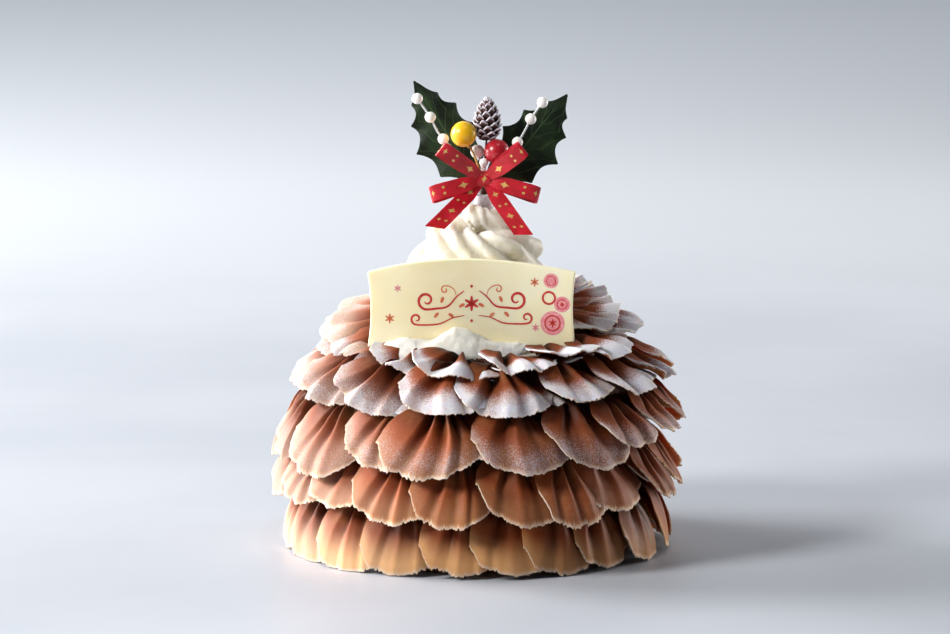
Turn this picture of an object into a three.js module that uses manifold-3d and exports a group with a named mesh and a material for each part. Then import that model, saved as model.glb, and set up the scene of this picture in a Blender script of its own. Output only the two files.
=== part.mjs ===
// A small round gateau for a winter feast. Fans of pleated chocolate hang round it in five rows, with a
// crown of fans on top. A piped cream swirl carries a plaque of white chocolate and a holly pick.
// Millimetres, +Z up, origin at the middle of the foot, the plaque faces -Y.

import * as THREE from "three";
import { mergeVertices } from "three/addons/utils/BufferGeometryUtils.js";
import Module from "manifold-3d";

const wasm = await Module();
wasm.setup();

// Clear space between neighbouring pieces
const GAP = 0.35;

// Cake under the fans: radius and height at the points that its rounded shoulder needs
const CAKE_PROFILE = [[0, 0], [60, 0], [61.5, 3], [61.5, 60], [54, 70], [41, 79.5], [26, 82], [0, 82]];
const CAKE_SIDES = 36;

// Rows of fans. root, bow and tip are radius and height along the middle of a fan,
// heel closes the row on its inner side, droop lowers the left of the row, tilt raises its right,
// scallop says how much shorter a fan is at its corners, lean how far its edge turns away from the front.
const FAN_THICKNESS = 1.6;
const FAN_ROWS = [
  {
    name: "fan_row_1", count: 21, pleats: 2, ruffle: 1.1, step: 1.8, droop: 0, tilt: 0, scallop: 0.1,
    lean: 0.04, root: [62, 25], bow: [73, 20], tip: [73.5, 1.6], heel: [[62, 6]],
  },
  {
    name: "fan_row_2", count: 21, pleats: 3, ruffle: 1.3, step: 2.0, droop: 0, tilt: 0, scallop: 0.22,
    lean: 0.1, root: [62, 45], bow: [75, 38.5], tip: [79.5, 23.4], heel: [[62, 29]],
  },
  {
    name: "fan_row_3", count: 19, pleats: 3, ruffle: 1.5, step: 2.2, droop: 3.6, tilt: 4, scallop: 0.2,
    lean: 0.14, root: [62, 63], bow: [75, 56.9], tip: [79.3, 43], heel: [[62, 49]],
  },
  {
    name: "fan_row_4", count: 17, pleats: 3, ruffle: 1.9, step: 2.2, droop: 0, tilt: 5.2, scallop: 0.24,
    lean: 0.16, root: [53.5, 75], bow: [66, 73.2], tip: [73.7, 62.1], heel: [[62, 65.5]],
  },
  {
    name: "fan_row_5", count: 17, pleats: 2, ruffle: 1.9, step: 2.2, droop: 0, tilt: 4.5, scallop: 0.24,
    lean: 0.14, root: [41, 86], bow: [54, 87.2], tip: [63.5, 78.8], heel: [[53, 78], [43, 80.5]],
  },
];
const CROWN = {
  name: "fan_crown", count: 12, pleats: 2, ruffle: 2.4, step: 2.2, droop: 1.8, tilt: 3, scallop: 0.2,
  lean: 0.1, root: [33, 89.5], bow: [43, 97], tip: [54.5, 94.5], heel: [[40.4, 89], [40.4, 82.5], [33, 82.5]],
};
const CROWN_FROM = THREE.MathUtils.degToRad(-36);
const CROWN_TO = THREE.MathUtils.degToRad(216);

// Cream
const SWIRL_PROFILE = [[0, 82.4], [27, 82.4], [31, 90], [30.5, 103], [26, 109.5], [24, 115], [15.5, 123.5],
  [9, 128], [0, 131]];
const SWIRL_TURNS = 3;
const SWIRL_RIBS = 12;
const SWIRL_RIB_DEPTH = 1.2;
const SWIRL_GROOVE = 2.2;
const DAB = { x: -8.5, halfWidth: 28, depth: 8.5, foot: 82.6, height: 4.6, peak: 3.4 };

// Plaque, standing in front of the swirl
const PLAQUE = { left: -42, right: 36.8, foot: 82.5, top: 111, arch: 4.8, lean: 0.25, y: -34.5, wave: 1.6,
  thickness: 3 };

// Pick: its axis stands at PICK_X, and heights below are above the cake's foot
const PICK_X = 2.3;
const SLEEVE = { radius: 3.8, foot: 106, top: 136.5 };
const BINDING = { radius: 1.9, top: 144.5 };
const WIRE_RADIUS = 0.42;
const RIBBON = { width: 6, thickness: 0.8, knotHeight: 143.4, y: -5.4, tailForward: 10 };
const RIBBON_LOOPS = [
  { end: [-15.3, 157.4], lean: 0.42, swell: 1.6 },
  { end: [18.8, 156.4], lean: 0.42, swell: 1.6 },
  { end: [-19.3, 137.6], lean: 0.1, swell: 2.6 },
  { end: [24.2, 137.6], lean: 0.1, swell: 2.6 },
];
const RIBBON_TAILS = [
  { end: [-16.6, 125.8], slant: -2.4 },
  { end: [17.4, 123], slant: 2.2 },
];
const LEAVES = [
  { name: "holly_leaf_left", base: [0.2, 141], tip: [-24.9, 179.6], stalk: 1.3, outerSide: 1 },
  { name: "holly_leaf_right", base: [6.4, 141], tip: [34.6, 174.4], stalk: 3.3, outerSide: -1 },
];
const LEAF = { halfWidth: 12.2, thickness: 0.9, y: 5.4, leanBack: 8, keel: -1.2, curl: 1.1, notch: 0.29,
  stalkHalfWidth: 0.6, outerShare: 1.24, innerShare: 0.96 };
const LEAF_SPINES = [0, 0.17, 0.42, 0.65, 0.81, 1];
const CONE = { x: 3.5, y: 3.0, foot: 157.5, height: 17.5, radius: 5.1, levels: 7, scales: 8 };
const YELLOW_BALL = { x: -5.6, y: -2.6, z: 160.4, radius: 5 };
const RED_BERRY = { x: 7.2, y: -2.6, z: 153.6, radius: 4.9 };
const PEARL = { x: -0.3, y: 1.8, z: 153.2, radius: 2.7 };
const SMALL_BEAD = { x: 2.2, y: -4.3, z: 149.6, radius: 1.7 };
const SPRAY_PEARL_RADIUS = 2.15;
const SPRAYS = [
  { name: "pearl_spray_left", pearls: [[-13.4, 158.2], [-18.4, 166.6], [-23.4, 173.8]], y: 0.6 },
  { name: "pearl_spray_right", pearls: [[15.2, 156.8], [20.3, 165.8], [24.8, 172.2]], y: 1.9 },
];

// A number from 0 to 1 that stays the same for the same seeds
function chance(a, b, c) {
  const value = Math.sin(a * 12.9898 + b * 78.233 + c * 37.719) * 43758.5453;
  return value - Math.floor(value);
}

function polar(radius, angle, height) {
  return new THREE.Vector3(radius * Math.cos(angle), radius * Math.sin(angle), height);
}

// Joins equal points, drops empty triangles and turns the faces outward
function closed(geometry) {
  geometry.deleteAttribute("normal");
  geometry.deleteAttribute("uv");
  const welded = mergeVertices(geometry, 1e-4);
  const at = welded.getAttribute("position");
  const source = welded.getIndex().array;
  const corners = [new THREE.Vector3(), new THREE.Vector3(), new THREE.Vector3()];
  const kept = [];
  let volume = 0;
  for (let i = 0; i < source.length; i += 3) {
    const [a, b, c] = [source[i], source[i + 1], source[i + 2]];
    if (a === b || b === c || c === a) continue;
    kept.push(a, b, c);
    [a, b, c].forEach((index, corner) => corners[corner].fromBufferAttribute(at, index));
    volume += corners[0].dot(corners[1].cross(corners[2]));
  }
  if (volume < 0) kept.reverse();
  welded.setIndex(kept);
  return welded;
}

function meshOf(points, triangles) {
  const geometry = new THREE.BufferGeometry().setFromPoints(points);
  geometry.setIndex(triangles);
  return closed(geometry);
}

// Flat end of a loft, over an outline whose points are numbered from first
function cap(outline, first, isStart) {
  const contour = outline.map((p) => new THREE.Vector2(Math.hypot(p.x, p.y), p.z));
  const keepsOrder = THREE.ShapeUtils.isClockWise(contour) !== isStart;
  return THREE.ShapeUtils.triangulateShape(contour, []).flatMap(([a, b, c]) => (
    keepsOrder ? [first + a, first + b, first + c] : [first + a, first + c, first + b]));
}

// Skin through a series of closed outlines. An open series is closed by a flat cap at both ends.
function loft(outlines, isRing) {
  const count = outlines.length;
  const size = outlines[0].length;
  const triangles = [];
  for (let i = 0; i < (isRing ? count : count - 1); i += 1) {
    const next = (i + 1) % count;
    for (let j = 0; j < size; j += 1) {
      const after = (j + 1) % size;
      triangles.push(i * size + j, next * size + j, next * size + after);
      triangles.push(i * size + j, next * size + after, i * size + after);
    }
  }
  if (!isRing) {
    triangles.push(...cap(outlines[0], 0, true), ...cap(outlines[count - 1], (count - 1) * size, false));
  }
  return meshOf(outlines.flat(), triangles);
}

// Sheet of even thickness over a grid of points, both faces split alike
function sheet(grid, thickness) {
  const rows = grid.length;
  const columns = grid[0].length;
  const front = grid.flat();
  const back = front.map((p) => p.clone().add(thickness));
  const total = rows * columns;
  const triangles = [];
  const quad = (a, b, c, d) => triangles.push(a, b, c, a, c, d);
  for (let i = 0; i < rows - 1; i += 1) {
    for (let j = 0; j < columns - 1; j += 1) {
      const a = i * columns + j;
      quad(a, a + 1, a + columns + 1, a + columns);
      triangles.push(total + a, total + a + columns + 1, total + a + 1);
      triangles.push(total + a, total + a + columns, total + a + columns + 1);
    }
    const left = i * columns;
    const right = left + columns - 1;
    quad(left, left + columns, total + left + columns, total + left);
    quad(right, total + right, total + right + columns, right + columns);
  }
  for (let j = 0; j < columns - 1; j += 1) {
    const far = (rows - 1) * columns + j;
    quad(j, total + j, total + j + 1, j + 1);
    quad(far, far + 1, total + far + 1, total + far);
  }
  return meshOf([...front, ...back], triangles);
}

function wire(points) {
  const circle = new THREE.EllipseCurve(0, 0, WIRE_RADIUS, WIRE_RADIUS);
  const section = new THREE.Shape(circle.getPoints(6).slice(0, 6));
  const path = new THREE.CatmullRomCurve3(points);
  return closed(new THREE.ExtrudeGeometry(section, { steps: 6, extrudePath: path, bevelEnabled: false }));
}

function ball(radius, x, y, z, sides) {
  return closed(new THREE.SphereGeometry(radius, sides, sides / 2 + 1).translate(x, y, z));
}

function drum(radius, foot, top, sides) {
  const geometry = new THREE.CylinderGeometry(radius, radius, top - foot, sides);
  return closed(geometry.rotateX(Math.PI / 2).translate(0, 0, (foot + top) / 2));
}

function solid(geometry) {
  const at = geometry.getAttribute("position");
  return new wasm.Manifold(new wasm.Mesh({
    numProp: 3,
    vertProperties: new Float32Array(at.array),
    triVerts: new Uint32Array(geometry.getIndex().array),
  }));
}

function geometryOf(manifold) {
  const mesh = manifold.getMesh();
  const geometry = new THREE.BufferGeometry();
  geometry.setAttribute("position", new THREE.BufferAttribute(new Float32Array(mesh.vertProperties), 3));
  geometry.setIndex(new THREE.BufferAttribute(new Uint32Array(mesh.triVerts), 1));
  return geometry;
}

function joined(pieces) {
  return geometryOf(pieces.map(solid).reduce((whole, piece) => whole.add(piece)));
}

// Body less its tools; loose scraps are dropped
function cut(body, tools) {
  const rest = tools.map(solid).reduce((whole, tool) => whole.subtract(tool), solid(body));
  const pieces = rest.decompose().sort((a, b) => b.volume() - a.volume());
  return geometryOf(pieces[0]);
}

// One row of fans between two angles. Each fan has pleats that spread from its root, a rounded lower
// edge, and a left edge that lies over the right edge of its neighbour.
function fanRow(row, seed, from, to) {
  const isRing = to - from > 2 * Math.PI - 1e-6;
  const bends = [row.root, row.bow, row.tip].map((p) => new THREE.Vector2(...p));
  const line = new THREE.QuadraticBezierCurve(...bends);
  const pitch = (to - from) / row.count;
  const columns = 2 * row.pleats + 1;
  const outlines = [];
  for (let fan = 0; fan < row.count; fan += 1) {
    const middle = from + pitch * (fan + 0.5 + 0.16 * (chance(seed, fan, 1) - 0.5));
    const length = 1 + 0.1 * (chance(seed, fan, 2) - 0.5);
    const raise = 1.2 * (chance(seed, fan, 3) - 0.5);
    for (let column = 0; column < columns; column += 1) {
      const across = column / (columns - 1);
      const isRidge = column % 2 === 0;
      const pleat = (isRidge ? 1 : -1) * (0.6 + 0.8 * chance(seed, fan, 10 + column));
      const corner = Math.abs(2 * across - 1);
      const reach = Math.min(1, length * (1 - row.scallop * corner ** 2.2));
      const lift = row.ruffle * pleat + row.step * (0.5 - across) + raise;
      const place = (along, offset, spread) => {
        const point = line.getPoint(along);
        const tangent = line.getTangent(along);
        const upright = middle + (across - 0.5) * pitch * spread;
        const angle = upright + row.lean * along * Math.cos(upright);
        const left = Math.max(0, -Math.cos(angle - 0.35));
        const lowered = along * (row.droop * left ** 2.5 - row.tilt * Math.cos(angle));
        const radius = point.x - tangent.y * offset + 0.25 * lowered;
        return polar(radius, angle, point.y + tangent.x * offset - lowered);
      };
      const even = from + pitch * (fan + 0.02 + 0.96 * across);
      outlines.push([
        polar(row.root[0], even, row.root[1]),
        place(0.55 * reach, 0.5 * lift, 0.84),
        place(reach, lift, 0.95),
        place(reach, lift - FAN_THICKNESS, 0.95),
        ...row.heel.map(([radius, height]) => polar(radius, even, height)),
      ]);
    }
  }
  return loft(outlines, isRing);
}

// Piped swirl: a ribbed rope wound upward, its grooves sunk between the turns
function creamSwirl() {
  const profile = new THREE.SplineCurve(SWIRL_PROFILE.slice(1).map((p) => new THREE.Vector2(...p)));
  const columns = 3 * SWIRL_RIBS;
  const heights = 13;
  const outlines = [];
  for (let column = 0; column < columns; column += 1) {
    const angle = (2 * Math.PI * column) / columns;
    const outline = [polar(0, 0, SWIRL_PROFILE[0][1])];
    for (let i = 0; i <= heights; i += 1) {
      const along = i / heights;
      const point = profile.getPoint(along);
      const phase = SWIRL_TURNS * along - angle / (2 * Math.PI);
      const fade = Math.sin(Math.PI * along) ** 0.5;
      const rib = SWIRL_RIB_DEPTH * Math.cos(SWIRL_RIBS * angle + 7 * along);
      const groove = SWIRL_GROOVE * (1 - Math.abs(Math.sin(Math.PI * phase)));
      outline.push(polar(Math.max(0, point.x + fade * (rib - groove)), angle, point.y));
    }
    outlines.push(outline);
  }
  const hole = drum(SLEEVE.radius + GAP, SLEEVE.foot - GAP, 140, 12).translate(PICK_X, 0, 0);
  return cut(loft(outlines, true), [hole, plaque(GAP)]);
}

function plaqueFace(x) {
  const across = (x - PLAQUE.left) / (PLAQUE.right - PLAQUE.left);
  return PLAQUE.y - PLAQUE.wave * Math.sin(2 * Math.PI * (across + 0.04));
}

// Plaque with a top that arches highest left of its middle, hollowed ends and a gentle wave,
// grown on all sides by a clearance
function plaque(clearance) {
  const rows = 3;
  const columns = 15;
  const grid = [];
  for (let i = 0; i < rows; i += 1) {
    const up = i / (rows - 1);
    const line = [];
    for (let j = 0; j < columns; j += 1) {
      const across = (2 * j) / (columns - 1) - 1;
      const hollow = 1.2 * across ** 9 * 4 * up * (1 - up);
      const reach = (PLAQUE.right - PLAQUE.left) / 2 + clearance;
      const x = (PLAQUE.left + PLAQUE.right) / 2 + reach * across - hollow;
      const arch = PLAQUE.arch * (1 - across ** 2) * (1 - PLAQUE.lean * across);
      const top = PLAQUE.top + arch + clearance;
      const foot = PLAQUE.foot - clearance;
      line.push(new THREE.Vector3(x, plaqueFace(x) - clearance, foot + (top - foot) * up));
    }
    grid.push(line);
  }
  return sheet(grid, new THREE.Vector3(0, PLAQUE.thickness + 2 * clearance, 0));
}

// Dab of cream that holds the foot of the plaque, drawn up into a peak, grown by a clearance
function creamDab(clearance) {
  const slices = 16;
  const outlines = [];
  for (let i = 0; i <= slices; i += 1) {
    const across = -Math.cos((Math.PI * i) / slices);
    const fill = Math.sqrt(Math.max(0, 1 - across ** 2));
    const x = DAB.x + (DAB.halfWidth + clearance) * across;
    const back = plaqueFace(x) - GAP + clearance;
    const depth = DAB.depth * fill + 2 * clearance;
    const peak = DAB.peak * Math.exp(-((across / 0.24) ** 2));
    const swell = DAB.height + 0.7 * Math.sin(7 * across + 0.6) + peak;
    const height = swell * fill ** 1.7 + 2 * clearance;
    const foot = DAB.foot - clearance;
    const profile = [[0, 0], [0, 0.8], [0.25, 1], [0.62, 0.86], [0.95, 0.45], [1, 0]];
    outlines.push(profile.map(([out, up]) => new THREE.Vector3(x, back - depth * out, foot + height * up)));
  }
  return loft(outlines, false);
}

// One loop of ribbon from the knot, out to its end and back, standing across the view
function ribbonLoop({ end, lean, swell }) {
  const reach = new THREE.Vector3(end[0] - PICK_X, 0, end[1] - RIBBON.knotHeight);
  const length = reach.length();
  const half = RIBBON.thickness / 2;
  const outline = (grow) => {
    const tip = length + grow;
    const side = swell + grow;
    return new THREE.SplineCurve([
      new THREE.Vector2(0.5 - grow, 0),
      new THREE.Vector2(length * 0.3, -side * 0.7),
      new THREE.Vector2(length * 0.75, -side),
      new THREE.Vector2(tip, 0),
      new THREE.Vector2(length * 0.75, side),
      new THREE.Vector2(length * 0.3, side * 0.7),
      new THREE.Vector2(0.5 - grow, 0),
    ]).getPoints(10).slice(0, 10);
  };
  const band = new THREE.Shape(outline(half));
  band.holes.push(new THREE.Path(outline(-half)));
  const geometry = new THREE.ExtrudeGeometry(band, { depth: RIBBON.width, bevelEnabled: false });
  geometry.translate(0, 0, -RIBBON.width / 2);
  const across = new THREE.Vector3(-reach.z, 0, reach.x).normalize();
  const along = reach.clone().normalize().applyAxisAngle(across, -lean);
  const facing = new THREE.Vector3().crossVectors(across, along);
  geometry.applyMatrix4(new THREE.Matrix4().makeBasis(along, facing, across));
  return closed(geometry.translate(PICK_X, RIBBON.y, RIBBON.knotHeight));
}

function ribbonTail({ end, slant }) {
  const start = new THREE.Vector3(PICK_X, RIBBON.y, RIBBON.knotHeight);
  const finish = new THREE.Vector3(end[0], RIBBON.y - RIBBON.tailForward, end[1]);
  const direction = finish.clone().sub(start).setY(0).normalize();
  const across = new THREE.Vector3(-direction.z, 0, direction.x);
  const grid = [];
  for (let i = 0; i <= 6; i += 1) {
    const along = i / 6;
    const ripple = new THREE.Vector3(0, 0.7 * Math.sin(5 * along), 0);
    const middle = start.clone().lerp(finish, along).add(ripple);
    const edge = (side) => middle.clone()
      .addScaledVector(across, (side * RIBBON.width) / 2)
      .addScaledVector(direction, side * slant * along);
    grid.push([edge(-1), edge(1)]);
  }
  return sheet(grid, new THREE.Vector3(0, RIBBON.thickness, 0));
}

function ribbonBow() {
  const knot = ball(3.1, 0, 0, 0, 8).scale(1.05, 0.72, 1.05).translate(PICK_X, RIBBON.y, RIBBON.knotHeight);
  return joined([knot, ...RIBBON_LOOPS.map(ribbonLoop), ...RIBBON_TAILS.map(ribbonTail)]);
}

// Holly leaf: a stalk held behind the binding, spines along both sides with hollow bays between them,
// a keel and a curled rim
function hollyLeaf({ base, tip, stalk, outerSide }) {
  const start = new THREE.Vector3(base[0], LEAF.y, base[1]);
  const along = new THREE.Vector3(tip[0], LEAF.y + LEAF.leanBack, tip[1]).sub(start);
  const across = new THREE.Vector3(-along.z, 0, along.x).normalize();
  const stations = LEAF_SPINES.slice(1).flatMap((spine, i) => {
    const last = LEAF_SPINES[i];
    return [0, 1 / 3, 2 / 3].map((part) => (
      { at: last + (spine - last) * part, bay: Math.sin(Math.PI * part) }
    ));
  });
  stations.push({ at: 1, bay: 0 });
  const crossings = [-1, -0.5, 0, 0.5, 1];
  const grid = stations.map(({ at, bay }, index) => {
    const blade = LEAF.halfWidth * Math.sin(Math.PI * at ** 0.8) * (1 - LEAF.notch * bay);
    const halfWidth = at < 1 ? Math.max(LEAF.stalkHalfWidth, blade) : 0;
    return crossings.map((out) => {
      const width = halfWidth * (out * outerSide > 0 ? LEAF.outerShare : LEAF.innerShare);
      const point = start.clone().addScaledVector(along, at).addScaledVector(across, width * out);
      const curl = LEAF.curl * out ** 2 * Math.sin(1.6 * index + out);
      point.y += (curl - LEAF.keel * Math.abs(out)) * Math.sin(Math.PI * at);
      return point;
    });
  });
  const foot = new THREE.Vector3(stalk, BINDING.radius + GAP, base[1] - 4);
  grid.unshift(crossings.map((out) => foot.clone().addScaledVector(across, LEAF.stalkHalfWidth * out)));
  return sheet(grid, new THREE.Vector3(0, LEAF.thickness, 0));
}

function pineCone() {
  const outlines = [];
  const columns = 2 * CONE.scales;
  for (let column = 0; column < columns; column += 1) {
    const angle = (2 * Math.PI * column) / columns;
    const outline = [new THREE.Vector3(CONE.x, CONE.y, CONE.foot)];
    for (let level = 0; level < CONE.levels; level += 1) {
      const isTip = (column + level) % 2 === 0;
      for (const [part, out] of [[0.25, 0.72], [0.8, isTip ? 1 : 0.78]]) {
        const up = (level + part) / CONE.levels;
        const radius = CONE.radius * out * Math.sin(Math.PI * (0.12 + 0.84 * up) ** 0.85) ** 0.7;
        const shift = polar(radius, angle, CONE.height * (up + (isTip ? 0.012 : 0)));
        outline.push(shift.add(new THREE.Vector3(CONE.x, CONE.y, CONE.foot)));
      }
    }
    outline.push(new THREE.Vector3(CONE.x, CONE.y, CONE.foot + CONE.height));
    outlines.push(outline);
  }
  const stalk = wireToBinding(new THREE.Vector3(CONE.x, CONE.y, CONE.foot + 3), 90);
  return joined([loft(outlines, true), stalk]);
}

// Place of one wire in the ring of wires on top of the binding
function bindingPlace(degrees) {
  const place = polar(1.3, THREE.MathUtils.degToRad(degrees), BINDING.top + GAP);
  place.x += PICK_X;
  return place;
}

function wireToBinding(from, degrees) {
  const place = bindingPlace(degrees);
  const bend = place.clone().lerp(from, 0.45);
  bend.z += 1;
  return wire([place, bend, from]);
}

function wiredBall({ x, y, z, radius }, sides, degrees) {
  return joined([ball(radius, x, y, z, sides), wireToBinding(new THREE.Vector3(x, y, z), degrees)]);
}

function pearlSpray({ pearls, y }, degrees) {
  const places = pearls.map(([x, z]) => new THREE.Vector3(x, y, z));
  const beads = places.map((p) => ball(SPRAY_PEARL_RADIUS, p.x, p.y, p.z, 8));
  return joined([wire([bindingPlace(degrees), ...places]), ...beads]);
}

function cakeBody() {
  const profile = CAKE_PROFILE.map((p) => new THREE.Vector2(...p));
  return closed(new THREE.LatheGeometry(profile, CAKE_SIDES).rotateX(Math.PI / 2));
}

const FINISHES = {
  sponge: { color: 0x5a3524, roughness: 0.8 },
  chocolate: { color: 0xb5713f, roughness: 0.55 },
  cream: { color: 0xfaf3e2, roughness: 0.6 },
  whiteChocolate: { color: 0xf3e2b4, roughness: 0.45 },
  clearPlastic: { color: 0xeef0ee, roughness: 0.25 },
  tape: { color: 0x4a3524, roughness: 0.7 },
  satin: { color: 0xc4121f, roughness: 0.35 },
  leaf: { color: 0x16301f, roughness: 0.45 },
  cone: { color: 0x6b5550, roughness: 0.8 },
  yellow: { color: 0xf2b20c, roughness: 0.35 },
  red: { color: 0xb5101c, roughness: 0.15 },
  pearl: { color: 0xf3efe8, roughness: 0.25 },
};

const gateau = new THREE.Group();
gateau.name = "winter_gateau";

function add(parent, name, geometry, finish) {
  const mesh = new THREE.Mesh(geometry, new THREE.MeshStandardMaterial(FINISHES[finish]));
  mesh.name = name;
  parent.add(mesh);
}

const fans = new THREE.Group();
fans.name = "fans";
const pick = new THREE.Group();
pick.name = "pick";

add(gateau, "cake_body", cakeBody(), "sponge");
FAN_ROWS.forEach((row, index) => {
  const ring = fanRow(row, index + 1, -Math.PI / 2, 1.5 * Math.PI);
  const isUnderPlaque = row.name === "fan_row_5";
  add(fans, row.name, isUnderPlaque ? cut(ring, [plaque(GAP), creamDab(GAP)]) : ring, "chocolate");
});
add(fans, CROWN.name, fanRow(CROWN, 9, CROWN_FROM, CROWN_TO), "chocolate");
add(gateau, "cream_swirl", creamSwirl(), "cream");
add(gateau, "cream_dab", creamDab(0), "cream");
add(gateau, "plaque", plaque(0), "whiteChocolate");
const sleeve = drum(SLEEVE.radius, SLEEVE.foot, SLEEVE.top, 12).translate(PICK_X, 0, 0);
const binding = drum(BINDING.radius, SLEEVE.top + GAP, BINDING.top, 12).translate(PICK_X, 0, 0);
add(pick, "pick_sleeve", sleeve, "clearPlastic");
add(pick, "pick_binding", binding, "tape");
add(pick, "ribbon_bow", ribbonBow(), "satin");
LEAVES.forEach((leaf) => add(pick, leaf.name, hollyLeaf(leaf), "leaf"));
add(pick, "pine_cone", pineCone(), "cone");
add(pick, "yellow_ball", wiredBall(YELLOW_BALL, 14, 210), "yellow");
add(pick, "red_berry", wiredBall(RED_BERRY, 14, 330), "red");
add(pick, "pearl_bead", wiredBall(PEARL, 12, 250), "pearl");
add(pick, "small_bead", wiredBall(SMALL_BEAD, 8, 290), "pearl");
add(pick, SPRAYS[0].name, pearlSpray(SPRAYS[0], 170), "pearl");
add(pick, SPRAYS[1].name, pearlSpray(SPRAYS[1], 10), "pearl");
gateau.add(fans, pick);

export default gateau;
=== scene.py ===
"""Winter gateau: fans of pleated milk chocolate in five rows and a crown, a piped cream swirl,
a plaque of white chocolate and a holly pick. Sizes in the lists below are millimetres."""

import math
import bpy
import numpy as np
from mathutils import Matrix, Vector


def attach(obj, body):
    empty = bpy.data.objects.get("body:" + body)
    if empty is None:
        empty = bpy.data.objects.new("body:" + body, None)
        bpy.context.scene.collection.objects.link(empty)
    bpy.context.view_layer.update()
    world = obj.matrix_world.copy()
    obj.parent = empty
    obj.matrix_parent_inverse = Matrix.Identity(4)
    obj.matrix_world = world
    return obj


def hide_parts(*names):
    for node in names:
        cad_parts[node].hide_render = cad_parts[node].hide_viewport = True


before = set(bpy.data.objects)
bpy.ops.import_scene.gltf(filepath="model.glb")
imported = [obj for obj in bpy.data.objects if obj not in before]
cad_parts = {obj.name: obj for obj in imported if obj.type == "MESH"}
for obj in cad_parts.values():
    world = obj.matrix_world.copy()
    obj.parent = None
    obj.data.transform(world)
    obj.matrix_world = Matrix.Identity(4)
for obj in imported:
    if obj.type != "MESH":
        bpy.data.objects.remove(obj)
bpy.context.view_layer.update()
MM = 0.001

# Rows of fans, with the same seeds, places and sizes as the solids. root, bow and tip are radius and height.
# lean: how far the petals slant round the cake, ruffle and step: how deep their pleats and overlaps are,
# uneven: how much they differ, scallop: how round their edge is, pale: how light they grow towards the edge,
# partly their own colour and partly painted light, the thin sugar veil: thin icing sugar and painted light on
# the lit far left, dust: thick icing sugar, lip: how far the edge turns out, flare: how far it waves,
# turn rolls the petals at the sides forward, tilt raises the right and lowers the left,
# droop lowers the edge at the left and raises it where below 0, left moves it out there and in where below 0,
# drop lowers the edge in front, dip lowers the roots in front, rise lifts the roots at the sides.
FAN_ROWS = [
    dict(name="fan_row_1", seed=1, count=21, pleats=2, lean=0.04, ruffle=1.1, step=1.8,
         uneven=0.08, scallop=0.13, pale=1.75, sugar_film_and_painted_light=0.32, dust=0.0, flare=0.1, lip=1.4,
         root=(61.8, 26.5), bow=(73.6, 22), tip=(72.6, 0.9)),
    dict(name="fan_row_2", seed=2, count=21, pleats=3, lean=0.1, ruffle=1.3, step=2.0,
         uneven=0.24, scallop=0.26, pale=0.44, sugar_film_and_painted_light=0.34, dust=0.2, flare=0.3, lip=3.4,
         root=(61.8, 46), bow=(75.2, 41), tip=(77.4, 22.4)),
    dict(name="fan_row_3", seed=3, count=19, pleats=3, lean=0.14, ruffle=1.5, step=2.2,
         uneven=0.26, scallop=0.28, pale=0.36, sugar_film_and_painted_light=0.36, dust=0.52, flare=0.6, lip=4.2,
         tilt=4, droop=1.6, left=-2.5,
         root=(61.8, 64), bow=(76, 59), tip=(77, 42)),
    dict(name="fan_row_4", seed=4, count=17, pleats=2, lean=0.16, ruffle=2.2, step=2.2,
         uneven=0.26, scallop=0.28, pale=0.4, sugar_film_and_painted_light=0.36, dust=0.98, flare=1.8, lip=3.2,
         turn=2.5, tilt=5.2, droop=-6.5, left=-3.5,
         root=(49.5, 77.5), bow=(66, 74.5), tip=(73, 60.5)),
    dict(name="fan_row_5", seed=5, count=17, pleats=2, lean=0.14, ruffle=1.6, step=2.2,
         uneven=0.26, scallop=0.28, pale=0.5, sugar_film_and_painted_light=0.32, dust=1.3, flare=1.5, lip=2.6,
         turn=4.5, tilt=5.5, droop=-3, left=-6, dip=7, rise=4,
         root=(40, 86), bow=(54, 86.5), tip=(63.5, 77.8)),
    dict(name="fan_crown", seed=9, count=12, pleats=2, lean=0.1, ruffle=2.2, step=2.2,
         uneven=0.2, scallop=0.26, pale=1.1, sugar_film_and_painted_light=0.46, dust=1.08, flare=1.2, lip=1.2,
         turn=7, tilt=3, droop=7.5, left=1.5, drop=12,
         root=(32, 88.5), bow=(43, 97), tip=(54.5, 94.5)),
]
ROW_FROM, ROW_TO = -math.pi / 2, 1.5 * math.pi
CROWN_FROM, CROWN_TO = math.radians(-36), math.radians(216)
FAN_THICKNESS = 0.6

CAKE_PROFILE = [(0, 0), (60, 0), (61.5, 3), (61.5, 60), (54, 70), (41, 79.5), (26, 82), (0, 82)]
PLAQUE = dict(left=-42, right=36.8, foot=82.5, top=111, arch=4.8, y=-34.5, wave=1.6, thickness=3)
DAB = dict(x=-8.5, half_width=28, depth=8.5, foot=82.6, height=4.6, hang=6)
PICK_X = 2.3
SLEEVE = dict(radius=3.8, foot=106, top=136.5)
BINDING = dict(radius=1.9, foot=136.85, top=144.5)
WIRE_RADIUS = 0.42
WIRE_RING = 1.3
STALK_RADIUS = 0.5
RIBBON_WIDTH = 6
KNOT = np.array([PICK_X, -5.4, 143.4])
RIBBON_LOOPS = [
    dict(end=(-15.3, 157.4), lean=0.42, swell=1.6, shift=1.3),
    dict(end=(18.8, 156.4), lean=0.42, swell=1.6, shift=1.2),
    dict(end=(-18.2, 138.2), lean=0.1, swell=2.6, shift=1.8),
    dict(end=(23.4, 138.0), lean=0.1, swell=2.6, shift=-1.7),
]
RIBBON_TAILS = [dict(end=(-16.6, 125.8), slant=-2.4), dict(end=(17.4, 123), slant=2.2)]
TAIL_FORWARD = 10
RIBBON_THICKNESS = 0.28
LEAVES = [
    dict(name="holly_leaf_left", base=(0.2, 141), tip=(-24.9, 179.6), stalk=1.3, outer_side=1),
    dict(name="holly_leaf_right", base=(6.4, 141), tip=(34.6, 174.4), stalk=3.3, outer_side=-1),
]
LEAF_SPINES = np.array([0, 0.17, 0.42, 0.65, 0.81, 1])
LEAF_BASE_Y, LEAF_TIP_Y = 5.4, 13.4
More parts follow.
